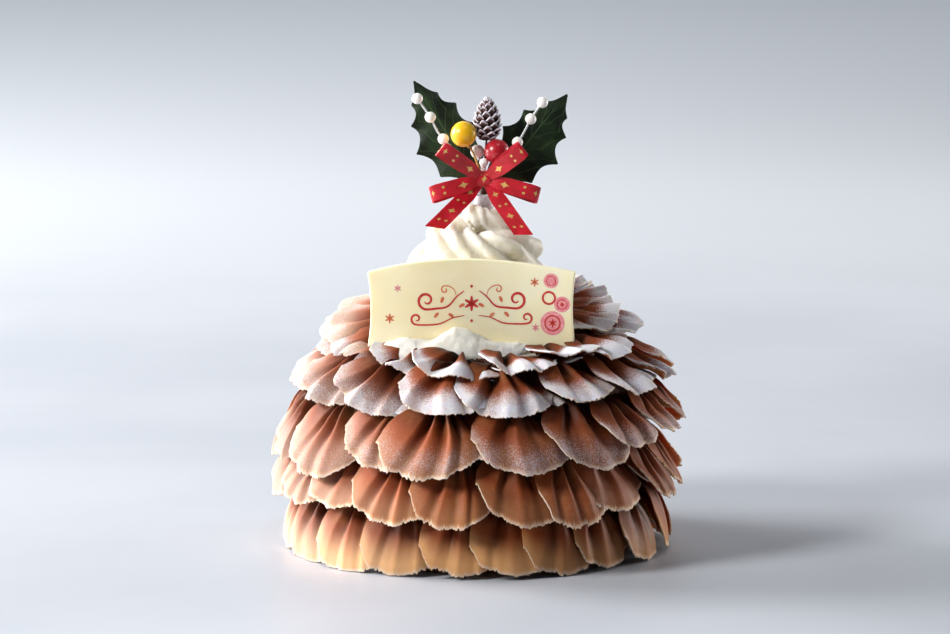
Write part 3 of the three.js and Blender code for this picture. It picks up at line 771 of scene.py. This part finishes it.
def stroke(points, width, material, lift=PRINT_LIFT):
    """A brush stroke on the plaque, fine at both ends."""
    line = smooth_path(points, 12 * len(points))
    run = np.gradient(line, axis=0)
    length = np.maximum(1e-6, np.hypot(run[:, 0], run[:, 1]))
    side = np.column_stack([-run[:, 1], run[:, 0]]) / length[:, None]

    def shape(u, v):
        at = u * (len(line) - 1)
        index = np.arange(len(line))
        half = 0.5 * width * (0.3 + 0.7 * np.sin(math.pi * u) ** 0.7) * (2 * v - 1)
        x = np.interp(at, index, line[:, 0]) + np.interp(at, index, side[:, 0]) * half
        z = np.interp(at, index, line[:, 1]) + np.interp(at, index, side[:, 1]) * half
        return on_plaque(x, z, lift)

    piece = shaped_grid(len(line) - 1, 2, shape)
    apply_modifier(piece, "SOLIDIFY", thickness=PRINT_THICKNESS * MM, offset=-1)
    return paint(piece, material)


def disc(x, z, outer, inner, material, lift=PRINT_LIFT):
    """A round printed spot, or a ring where inner is above 0."""

    def shape(u, v):
        turn = 2 * math.pi * u
        radius = outer + (inner - outer) * v
        return on_plaque(x + radius * np.cos(turn), z + radius * np.sin(turn), lift)

    piece = weld(shaped_grid(36, 6, shape))
    apply_modifier(piece, "SOLIDIFY", thickness=PRINT_THICKNESS * MM, offset=-1)
    return paint(piece, material)


def curl(x, z, radius, start, turns, tail):
    """Points of a scroll that unwinds from its eye to a tail point."""
    eye = []
    for part in np.linspace(0.25, 1, 10):
        turn = start + 2 * math.pi * turns * part
        eye.append((x + radius * part * math.cos(turn), z + radius * part * math.sin(turn)))
    return eye + tail


def snow_star(x, z, radius, material, lift=PRINT_LIFT):
    arms = []
    for degrees in (30, 90, 150):
        out_x = radius * math.cos(math.radians(degrees))
        out_z = radius * math.sin(math.radians(degrees))
        line = [(x - out_x, z - out_z), (x, z), (x + out_x, z + out_z)]
        arms.append(stroke(line, 0.42 * radius, material, lift))
    return arms


def plaque_print():
    """Tendrils with leaves on both sides of a snow star, and rings and spots near one end."""
    marks = []
    middle = -2.5
    for side in (-1, 1):
        def mirrored(points, side=side):
            return [(middle + side * (x - middle), z) for x, z in points]
        upper = curl(-19.6, 100.4, 3.4, 1.4, 1.5,
                     [(-16.2, 97.2), (-11.6, 98.0), (-8.2, 101.6), (-5.4, 103.8)])
        lower = curl(-23.4, 93.4, 2.2, 2.02, 1.4,
                     [(-20.4, 91.0), (-14.6, 91.4), (-9.6, 93.6), (-5.2, 94.4)])
        small = curl(-12.6, 104.4, 1.5, 3.46, -1.3, [(-10.8, 105.6), (-9.0, 104.2), (-8.2, 101.6)])
        marks.append(stroke(mirrored(upper), 1.0, PRINT_RED))
        marks.append(stroke(mirrored(lower), 0.8, PRINT_RED))
        marks.append(stroke(mirrored(small), 0.5, PRINT_ORANGE))
        for x, z, turn in ((-14.0, 99.4, 1.2), (-11.2, 95.2, -0.7), (-16.6, 93.8, 0.8), (-7.2, 97.6, 0.5)):
            tip = (x + 2.4 * math.cos(turn), z + 2.4 * math.sin(turn))
            bulge = ((x + tip[0]) / 2, (z + tip[1]) / 2 + 0.2)
            marks.append(stroke(mirrored([(x, z), bulge, tip]), 1.2, PRINT_ORANGE))
    marks += snow_star(middle, 99.0, 2.9, PRINT_RED)
    marks += [disc(middle, 92.4, 0.55, 0, PRINT_RED), disc(middle, 105.6, 0.55, 0, PRINT_RED)]
    marks += snow_star(-33.5, 93.5, 1.9, PRINT_ORANGE)
    marks += snow_star(-30.5, 105.0, 1.4, PRINT_PINK)
    marks += snow_star(21.4, 107.0, 1.7, PRINT_ORANGE)
    marks += snow_star(21.8, 89.6, 1.5, PRINT_PINK)
    for x, z, radius in ((28.2, 91.4, 4.6), (31.8, 98.6, 3.0), (27.6, 107.6, 2.8)):
        marks.append(disc(x, z, radius, 0, PRINT_PINK))
        marks.append(disc(x, z, 0.68 * radius, 0.56 * radius, PRINT_RED, 0.1))
    marks.append(disc(26.8, 101.0, 2.7, 1.9, PRINT_RED))
    marks += snow_star(28.2, 91.4, 1.7, PRINT_RED, 0.15)
    marks.append(disc(31.8, 98.6, 0.7, 0, PRINT_RED, 0.1))
    return marks


def plaque():
    middle = (PLAQUE["left"] + PLAQUE["right"]) / 2
    reach = (PLAQUE["right"] - PLAQUE["left"]) / 2

    def shape(u, v):
        across = 2 * u - 1
        x = middle + reach * across - 1.2 * across ** 9 * 4 * v * (1 - v)
        top = PLAQUE["top"] + PLAQUE["arch"] * (1 - across ** 2) * (1 - 0.25 * across)
        return x, plaque_face(x), PLAQUE["foot"] + (top - PLAQUE["foot"]) * v

    piece = shaped_grid(80, 24, shape)
    apply_modifier(piece, "SOLIDIFY", thickness=PLAQUE["thickness"] * MM, offset=-1)
    apply_modifier(piece, "BEVEL", width=0.45 * MM, segments=3, limit_method="ANGLE",
                   angle_limit=math.radians(50))
    slab = join([paint(piece, WHITE_CHOCOLATE), *plaque_print()])
    finish(slab, "printed_plaque", "white_chocolate", "plaque")


# Holly pick

COLLAR = dict(radius=0.75, sunk=0.97, proud=0.7)
GOLDEN_ANGLE = math.radians(137.508)


def binding_place(degrees):
    """Where a wire starts, just above the binding."""
    turn = math.radians(degrees)
    return (PICK_X + WIRE_RING * math.cos(turn), WIRE_RING * math.sin(turn), BINDING["top"] + 0.3)


def wire_from_binding(place, degrees, material):
    start = np.array(binding_place(degrees))
    bend = start + 0.45 * (np.array(place) - start) + (0, 0, 1)
    return paint(tube(smooth_path([start, bend, place], 18), WIRE_RADIUS), material)


def wired_ball(name, bauble, slot, material, node, wire):
    """A ball with a small collar where its wire goes in."""
    place, radius = np.array(bauble["place"]), bauble["radius"]
    toward = np.array(binding_place(bauble["wire"])) - place
    toward = toward / np.linalg.norm(toward)
    globe = paint(ball(place, radius), material)
    collar_ends = [place + toward * radius * COLLAR["sunk"], place + toward * (radius + COLLAR["proud"])]
    collar = paint(tube(collar_ends, COLLAR["radius"]), wire)
    finish(join([globe, collar, wire_from_binding(place, bauble["wire"], wire)]), name, slot, node)


def pearl_spray(spray):
    places = [(x, spray["y"], z) for x, z in spray["pearls"]]
    line = smooth_path([binding_place(spray["wire"]), *places], 40)
    beads = [paint(ball(place, SPRAY_PEARL_RADIUS), PEARL_SHELL) for place in places]
    piece = join([*beads, paint(tube(line, WIRE_RADIUS), WHITE_WIRE)])
    finish(piece, spray["name"] + "_beads", "pearl", spray["name"])


def leaf_shape(leaf):
    """A blade with curved bays between its spines, wavy at the edge and sunk along the midrib."""
    start = np.array([leaf["base"][0], LEAF_BASE_Y, leaf["base"][1]])
    run = np.array([leaf["tip"][0], LEAF_TIP_Y, leaf["tip"][1]]) - start
    side = np.array([-run[2], 0, run[0]]) / math.hypot(run[0], run[2])

    def shape(u, v):
        out = 2 * u - 1
        is_outer = out * leaf["outer_side"] > 0
        station = v - 0.055 * np.sin(math.pi * v) * is_outer
        last = np.clip(np.searchsorted(LEAF_SPINES, station, side="right") - 1, 0, len(LEAF_SPINES) - 2)
        part = (station - LEAF_SPINES[last]) / (LEAF_SPINES[last + 1] - LEAF_SPINES[last])
        bay = np.sin(math.pi * part) ** 0.8
        width = LEAF_HALF_WIDTH * np.sin(math.pi * v ** 0.8) * (1 - 0.29 * bay)
        width = np.where(v < 1, np.maximum(0.5, width), 0) * np.where(is_outer, OUTER_HALF, INNER_HALF)
        point = start + run * v[:, None] + side * (width * out)[:, None]
        waves = 1.1 * out ** 2 * np.sin(4.8 * (last + part) + out)
        channel = 0.35 * np.exp(-(out / 0.06) ** 2)
        point[:, 1] += (waves + 1.2 * np.abs(out) + channel) * np.sin(math.pi * v)
        return point[:, 0], point[:, 1], point[:, 2]

    return shape


def leaf_point(leaf, along):
    """A point just behind the midrib."""
    x, y, z = leaf_shape(leaf)(np.array([0.5]), np.array([along]))
    return (x[0], y[0] + 0.5, z[0])


def holly_leaf(leaf):
    blade = shaped_grid(25, 96, leaf_shape(leaf))
    apply_modifier(blade, "SOLIDIFY", thickness=LEAF_THICKNESS * MM, offset=-1)
    foot = (leaf["stalk"], BINDING["radius"] + 0.9, leaf["base"][1] - 4)
    bend = (leaf["base"][0], 5.5, leaf["base"][1])
    stalk = tube(smooth_path([foot, bend, leaf_point(leaf, 0.12)], 16), STALK_RADIUS)
    piece = join([paint(blade, HOLLY), paint(stalk, GREEN_WIRE)])
    finish(piece, leaf["name"] + "_blade", "holly_leaf", leaf["name"])


def pine_cone():
    """Frosted scales wound round a core, each one copied from the first."""

    def scale_shape(u, v):
        out = 2 * u - 1
        half = 1.75 * np.sin(math.pi * (0.16 + 0.62 * v))
        thick_tip = 0.5 * fade(0.6, 1, v) * (1 - out ** 2)
        return half * out, 3.1 * v - 0.5 * out ** 2 * v, 1.5 * v ** 2 + thick_tip - 0.35 * out ** 2

    pattern = shaped_grid(7, 7, scale_shape)
    apply_modifier(pattern, "SOLIDIFY", thickness=0.5 * MM, offset=-1)
    axis = Vector((CONE["x"], CONE["y"], 0))
    core = ball((0, 0, 0), 1)
    core.data.transform(Matrix.Diagonal((CONE["core"], CONE["core"], CONE["height"] / 2 - 0.6)).to_4x4())
    core_middle = axis + Vector((0, 0, CONE["foot"] + CONE["height"] / 2))
    core.data.transform(Matrix.Translation(core_middle * MM))
    pieces = [paint(core, FROSTED)]
    count = CONE["scales"]
    for index in range(count):
        up = (index + 0.5) / count
        turn = index * GOLDEN_ANGLE
        girth = math.sin(math.pi * (0.12 + 0.84 * up) ** 0.85) ** 0.7
        size = 0.76 + 0.46 * girth - 0.22 * up
        tilt = math.radians(-18 + 78 * up ** 1.6)
        height = CONE["foot"] + 0.6 + (CONE["height"] - 3.4) * up
        reach = max(0.1, CONE["radius"] * girth - 2.9 * size * math.cos(tilt))
        place = (axis + Vector((reach * math.sin(turn), reach * math.cos(turn), height))) * MM
        copy = pattern.copy()
        copy.data = pattern.data.copy()
        bpy.context.scene.collection.objects.link(copy)
        copy.data.transform(Matrix.Translation(place) @ Matrix.Rotation(-turn, 4, "Z")
                            @ Matrix.Rotation(tilt, 4, "X") @ Matrix.Scale(size, 4))
        pieces.append(paint(copy, FROSTED))
    bpy.data.objects.remove(pattern)
    pieces.append(wire_from_binding((CONE["x"], CONE["y"], CONE["foot"] + 3), 90, GREEN_WIRE))
    finish(join(pieces), "frosted_pine_cone", "cone_scales", "pine_cone")


def ribbon_band(line, side, widths, length):
    """A ribbon along a line of points, with its width along the given directions."""
    index = np.arange(len(line))

    def shape(u, v):
        at = u * (len(line) - 1)
        half = np.interp(at, index, widths) * (v - 0.5)
        return tuple(np.interp(at, index, line[:, i]) + np.interp(at, index, side[:, i]) * half
                     for i in range(3))

    piece = shaped_grid(len(line) - 1, 8, shape, uv_size=(length * MM, RIBBON_WIDTH * MM))
    apply_modifier(piece, "SOLIDIFY", thickness=RIBBON_THICKNESS * MM, offset=0)
    return paint(piece, SATIN)


def ribbon_loop(loop):
    """A flat loop from the knot out to its end and back, narrow at the knot."""
    reach = Vector((loop["end"][0] - PICK_X, 0, loop["end"][1] - KNOT[2]))
    length = reach.length
    across = Vector((-reach.z, 0, reach.x)).normalized()
    along = Matrix.Rotation(-loop["lean"], 3, across) @ reach.normalized()
    facing = across.cross(along)
    swell = loop["swell"]
    lower_half = [(0.5, -0.6), (length * 0.3, -swell * 0.8), (length * 0.75, -swell),
                  (length * 0.985, -swell * 0.45)]
    upper_half = [(out, -rise) for out, rise in reversed(lower_half)]
    outline = smooth_path(lower_half + upper_half, 64)
    line = KNOT + np.outer(outline[:, 0], along) + np.outer(outline[:, 1], facing)
    shift = loop["shift"] * fade(0.3, 0.7, np.linspace(0, 1, len(line))) * outline[:, 0] / length
    line = line + np.outer(shift, across)
    widths = RIBBON_WIDTH * (0.5 + 0.5 * fade(0, 0.45, outline[:, 0] / length))
    return ribbon_band(line, np.tile(np.array(across), (len(line), 1)), widths, 2.1 * length)


def ribbon_tail(tail):
    """A tail that hangs forward from the knot, cut slantwise at its end."""
    end = np.array([tail["end"][0], KNOT[1] - TAIL_FORWARD, tail["end"][1]])
    run = end - KNOT
    flat = np.array([run[0], 0, run[2]])
    flat = flat / np.linalg.norm(flat)
    across = np.array([-flat[2], 0, flat[0]])
    part = np.linspace(0, 1, 40)
    line = KNOT + np.outer(part, run)
    line[:, 1] += 0.7 * np.sin(5 * part)
    side = across + np.outer(part, flat) * (2 * tail["slant"] / RIBBON_WIDTH)
    side[:, 1] += 0.12 * np.sin(4 * part)
    widths = RIBBON_WIDTH * (0.5 + 0.5 * fade(0, 0.4, part))
    return ribbon_band(line, side, widths, np.linalg.norm(run))


def ribbon_knot():
    """The short crosswise wrap that gathers the loops."""
    turn = np.linspace(0, 2 * math.pi, 48)
    wrap = np.column_stack([0.25 * np.sin(3 * turn), 2.1 * np.cos(turn), 3.0 * np.sin(turn)])
    line = KNOT + wrap
    side = np.tile(np.array([1.0, 0, 0.12]), (len(line), 1))
    widths = 4.6 + 0.5 * np.cos(2 * turn)
    return weld(ribbon_band(line, side, widths, 16), 0.05)


def ribbon_bow():
    bands = [ribbon_loop(loop) for loop in RIBBON_LOOPS]
    bands += [ribbon_tail(tail) for tail in RIBBON_TAILS]
    finish(join([*bands, ribbon_knot()]), "satin_bow", "satin_ribbon", "ribbon_bow", angle=60)


def sleeve_and_binding():
    radius, foot, top = SLEEVE["radius"], SLEEVE["foot"], SLEEVE["top"]
    wall = [(0, foot), (radius - 0.5, foot), (radius, foot + 1), (radius, top - 1.2),
            (radius + 0.25, top - 0.6), (radius + 0.2, top), (radius - 0.45, top),
            (radius - 0.5, foot + 2), (0, foot + 2)]
    sleeve = paint(turned(wall, PICK_X, 40, 8), CLEAR)
    finish(sleeve, "clear_sleeve", "clear_plastic", "pick_sleeve")
    rounds = [(0, BINDING["foot"]), (1.5, BINDING["foot"])]
    turns = 9
    for index in range(turns):
        low = BINDING["foot"] + 0.2 + index * (BINDING["top"] - BINDING["foot"] - 0.4) / turns
        rounds += [(1.66, low), (BINDING["radius"], low + 0.3), (1.86, low + 0.62)]
    rounds += [(1.4, BINDING["top"]), (0, BINDING["top"])]
    binding = paint(turned(rounds, PICK_X, 32, len(rounds) - 1), TAPE)
    finish(binding, "tape_binding", "dark_tape", "pick_binding")


# Finishes

CHOCOLATE = chocolate("milk chocolate", ridge=tint(152, 74, 36), valley_shade=tint(92, 33, 9),
                      root=tint(44, 14, 5), edge=tint(231, 172, 113), dusted=1.0)
CHOCOLATE_UNDERSIDE = chocolate("milk chocolate underside", ridge=tint(200, 140, 80),
                                valley_shade=tint(176, 110, 54), root=tint(112, 54, 24),
                                edge=tint(226, 186, 132), dusted=0.0)
CREAM = cream("whipped cream", tint(211, 207, 194), tint(219, 214, 200))
# The cream against the plaque is lighter than the swirl: partly its warmer ivory colour, partly painted light
# that lifts the shade it stands in.
SMEAR_PAINTED_LIGHTER = cream("smeared cream painted lighter", tint(246, 240, 224), tint(251, 246, 232))
COAT = cake_coat()
WHITE_CHOCOLATE = white_chocolate()
PRINT_RED = cocoa_print("red print", tint(196, 40, 34), tint(214, 74, 56))
PRINT_ORANGE = cocoa_print("orange print", tint(214, 104, 62), tint(228, 140, 96))
PRINT_PINK = cocoa_print("pink print", tint(232, 138, 146), tint(240, 172, 172))
SATIN = satin_ribbon()
HOLLY = holly_cloth()
FROSTED = frosted_scales()
YELLOW = lacquer("yellow lacquer", tint(240, 182, 8), tint(248, 198, 26), roughness=0.36, coat=0.25)
RED = lacquer("red lacquer", tint(158, 10, 28), tint(180, 18, 36), roughness=0.34, coat=0.35)
PEARL_SHELL = pearl_shell()
WHITE_WIRE = wire_wrap("white wire", tint(222, 224, 224), tint(180, 184, 188))
GREEN_WIRE = wire_wrap("green wire", tint(64, 66, 44), tint(38, 40, 26))
STRAW_WIRE = wire_wrap("straw wire", tint(196, 168, 96), tint(150, 122, 60))
TAPE = wire_wrap("brown tape", tint(92, 70, 46), tint(52, 38, 26))
CLEAR = clear_plastic()

# The pieces

cake()
for row in FAN_ROWS[:5]:
    fan_row(row, ROW_FROM, ROW_TO)
fan_row(FAN_ROWS[5], CROWN_FROM, CROWN_TO)
cream_swirl()
cream_dab()
plaque()
sleeve_and_binding()
ribbon_bow()
for leaf in LEAVES:
    holly_leaf(leaf)
pine_cone()
wired_ball("yellow_bauble", YELLOW_BALL, "yellow_lacquer", YELLOW, "yellow_ball", STRAW_WIRE)
wired_ball("red_bauble", RED_BERRY, "red_lacquer", RED, "red_berry", GREEN_WIRE)
wired_ball("round_pearl", PEARL, "pearl", PEARL_SHELL, "pearl_bead", WHITE_WIRE)
wired_ball("little_pearl", SMALL_BEAD, "pearl", PEARL_SHELL, "small_bead", WHITE_WIRE)
for spray in SPRAYS:
    pearl_spray(spray)

# Floor, lights and camera, in metres

LIGHTS = [
    dict(name="window", place=(-1.25, -0.8, 0.95), target=(0, 0, 0.08), size=0.5, power=31,
         colour=(1.0, 0.985, 0.96)),
    dict(name="wide_left", place=(-2.0, 0.6, 0.7), target=(0, 0, 0.08), size=1.3, power=90,
         colour=(1.0, 0.98, 0.97)),
    dict(name="back_left", place=(-2.4, 1.6, 1.6), target=(-1.4, 1.4, 0), size=1.6, power=40,
         colour=(0.97, 0.985, 1.0)),
    dict(name="far_floor", place=(-0.4, 3.4, 2.2), target=(-0.3, 3.0, 0), size=3.0, power=34,
         colour=(0.95, 0.97, 1.0)),
    dict(name="low_right", place=(1.2, 0.62, 0.24), target=(0, 0, 0.11), size=0.6, power=13,
         colour=(1.0, 0.95, 0.9)),
]
OVERHEAD = dict(place=(0.25, -0.35, 1.5), target=(0, 0, 0.1), power=34, cone=math.radians(6),
                blend=0.6, size=0.12)
ROOM_COLOUR, ROOM_STRENGTH = (0.86, 0.91, 1.0, 1), 0.105
CAMERA_PLACE, CAMERA_TARGET = Vector((-1.2, -1570, 310)) * MM, Vector((-1.2, 0, 89)) * MM
CAMERA_LENS, CAMERA_SENSOR = 155, 36


def looking_at(place, target):
    """The turn of a light or camera at a place that looks at a target."""
    return (Vector(target) - Vector(place)).to_track_quat("-Z", "Y").to_euler()


def area_light(name, place, target, size, power, colour):
    bpy.ops.object.light_add(type="AREA", location=place)
    light = bpy.context.object
    light.name = name
    light.data.shape = "DISK"
    light.data.size = size
    light.data.energy = power
    light.data.color = colour
    light.rotation_euler = looking_at(place, target)


deselect()
bpy.ops.mesh.primitive_plane_add(size=14, location=(0, 3, 0))
floor = bpy.context.object
floor.name = "floor"
pale_floor = Finish("pale floor")
clouds = pale_floor.fade(pale_floor.noise(5, 4), 0.3, 0.7)
near = pale_floor.mix(clouds, tint(182, 188, 197), tint(191, 196, 205))
distance = pale_floor.fade(pale_floor.split(pale_floor.places.outputs["Object"])[1], -2.7, -1.6)
pale_floor.look(Base_Color=pale_floor.mix(distance, near, tint(228, 233, 240)), Roughness=0.42)
paint(floor, pale_floor.material)

for light in LIGHTS:
    area_light(**light)
bpy.ops.object.light_add(type="SPOT", location=OVERHEAD["place"])
overhead = bpy.context.object
overhead.name = "overhead"
overhead.data.energy = OVERHEAD["power"]
overhead.data.spot_size = OVERHEAD["cone"]
overhead.data.spot_blend = OVERHEAD["blend"]
overhead.data.shadow_soft_size = OVERHEAD["size"]
overhead.rotation_euler = looking_at(OVERHEAD["place"], OVERHEAD["target"])
world = bpy.data.worlds.new("pale room")
bpy.context.scene.world = world
world.use_nodes = True
background = world.node_tree.nodes["Background"]
background.inputs["Color"].default_value = ROOM_COLOUR
background.inputs["Strength"].default_value = ROOM_STRENGTH

bpy.ops.object.camera_add(location=CAMERA_PLACE)
camera = bpy.context.object
camera.data.lens = CAMERA_LENS
camera.data.sensor_width = CAMERA_SENSOR
camera.rotation_euler = looking_at(CAMERA_PLACE, CAMERA_TARGET)
bpy.context.scene.camera = camera
bpy.context.scene.view_settings.view_transform = "Standard"
